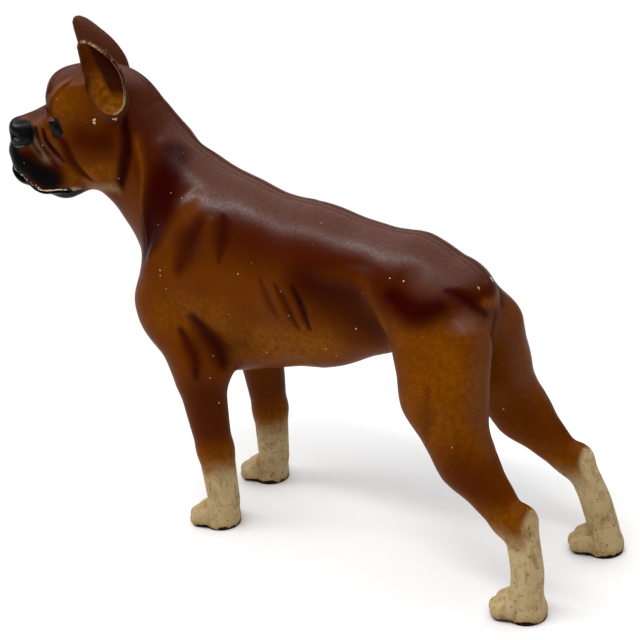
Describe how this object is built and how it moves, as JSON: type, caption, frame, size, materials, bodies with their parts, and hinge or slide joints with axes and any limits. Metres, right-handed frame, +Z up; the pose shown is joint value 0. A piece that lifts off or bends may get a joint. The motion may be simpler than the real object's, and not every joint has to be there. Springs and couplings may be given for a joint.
{
  "type": "dog doorstop",
  "caption": "Heavy hollow cast iron doorstop shaped as a standing short-muzzled dog with pricked ears and a turned head, painted and screwed together from halves.",
  "frame": {"origin": "on the floor under the middle of the figure's box", "axes": "the dog faces -X, its left side is -Y, and +Z is up"},
  "size_m": [0.2532, 0.0809, 0.2176],
  "materials": {
    "painted_iron": "aged semi-gloss enamel",
    "screw_steel": "dull and lightly rusted"
  },
  "bodies": {
    "root": {"left_half": "painted_iron", "right_half": "painted_iron", "front_screw": "screw_steel", "rear_screw": "screw_steel"}
  },
  "joints": []
}
